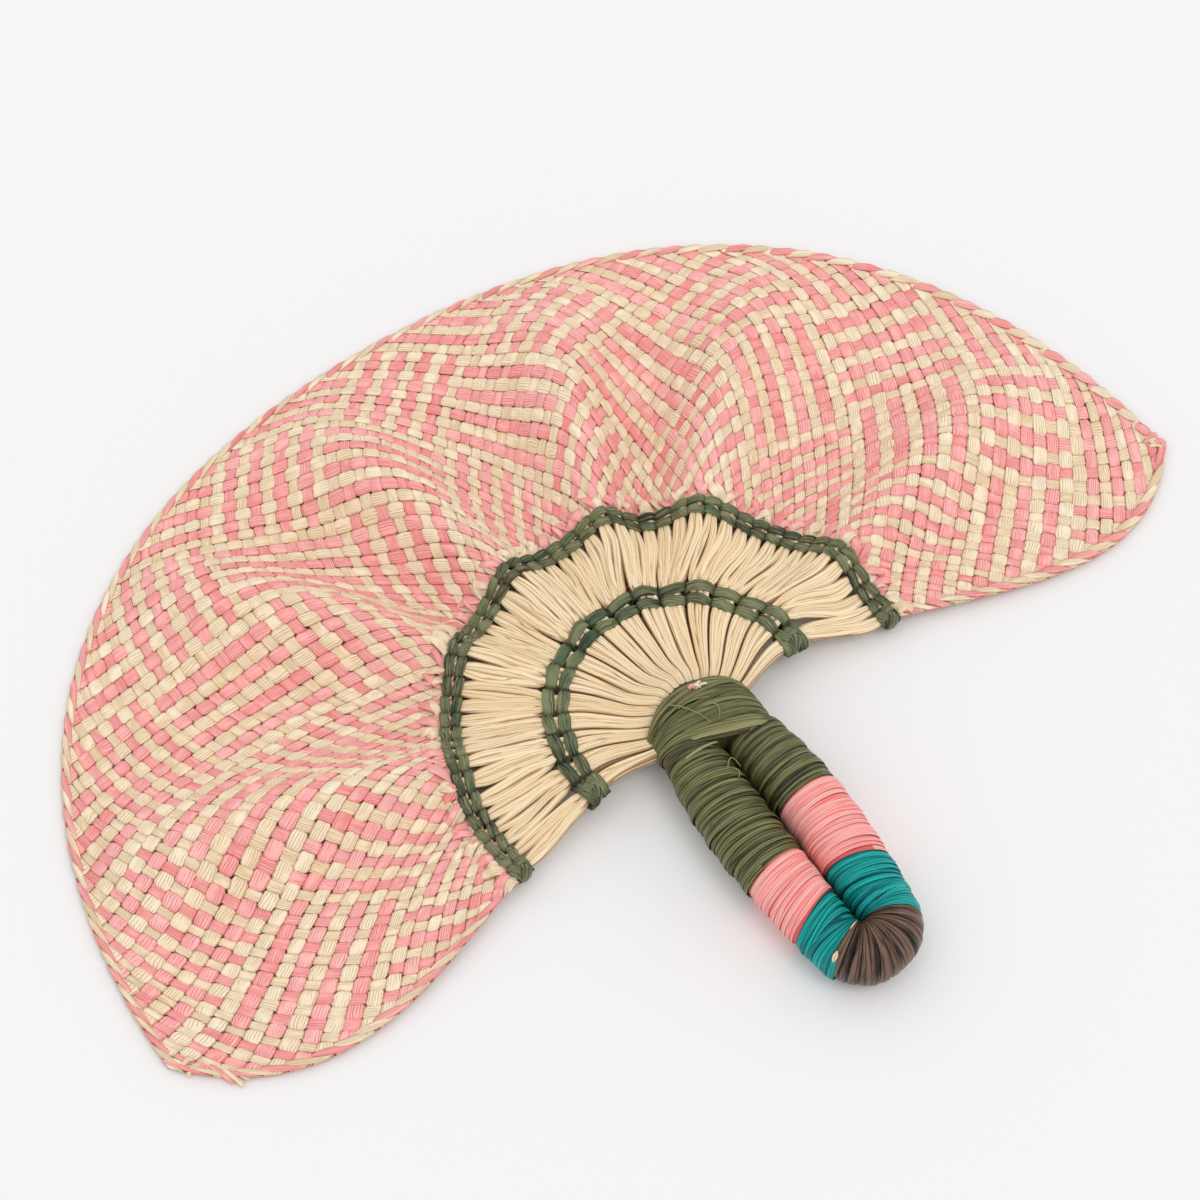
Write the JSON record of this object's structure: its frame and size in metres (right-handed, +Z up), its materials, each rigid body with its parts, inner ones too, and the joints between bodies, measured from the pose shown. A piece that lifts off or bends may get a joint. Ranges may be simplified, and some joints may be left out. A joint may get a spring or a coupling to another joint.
{
  "type": "plaited palm leaf hand fan",
  "caption": "Half-moon hand fan: a wavy plaited leaf blade on twined leaf ribs, gathered into a wrapped loop handle that is held in the hand.",
  "frame": {"origin": "on the table under the middle of the fan's bounding box, as the fan lies face up", "axes": "+X across the blade to the right seen from above, +Y from the loop handle towards the top of the blade, +Z up from the table"},
  "size_m": [0.4394, 0.3308, 0.0262],
  "materials": {
    "mat_leaf_pink": "dyed dry leaf, matt with a faint sheen along the fibres",
    "mat_leaf_natural": "undyed dry leaf, matt with a faint sheen along the fibres",
    "rib_leaf": "undyed dry leaf strips, folded lengthwise, satin",
    "twine_green": "dark green dyed leaf ribbon, satin",
    "wrap_green": "dark olive green dyed leaf strip, satin",
    "wrap_pink": "salmon pink dyed leaf strip, matt",
    "wrap_teal": "teal dyed leaf strip, matt",
    "wrap_brown": "dark brown dyed leaf strip, slightly glossy"
  },
  "bodies": {
    "root": {"blade_mat": "mat_leaf_pink", "rib_01": "rib_leaf", "rib_02": "rib_leaf", "rib_03": "rib_leaf", "rib_04": "rib_leaf", "rib_05": "rib_leaf", "rib_06": "rib_leaf", "rib_07": "rib_leaf", "rib_08": "rib_leaf", "rib_09": "rib_leaf", "rib_10": "rib_leaf", "rib_11": "rib_leaf", "rib_12": "rib_leaf", "rib_13": "rib_leaf", "rib_14": "rib_leaf", "rib_15": "rib_leaf", "rib_16": "rib_leaf", "rib_17": "rib_leaf", "inner_twine_a": "twine_green", "inner_twine_b": "twine_green", "inner_twine_knot_left": "twine_green", "inner_twine_knot_right": "twine_green", "outer_twine_a": "twine_green", "outer_twine_b": "twine_green", "outer_twine_knot_left": "twine_green", "outer_twine_knot_right": "twine_green", "handle_core": "rib_leaf", "neck_wrap": "wrap_green", "left_leg_green_wrap": "wrap_green", "right_leg_green_wrap": "wrap_green", "left_leg_pink_wrap": "wrap_pink", "right_leg_pink_wrap": "wrap_pink", "left_leg_teal_wrap": "wrap_teal", "right_leg_teal_wrap": "wrap_teal", "bend_brown_wrap": "wrap_brown", "neck_tie_knot": "mat_leaf_natural"}
  },
  "joints": []
}
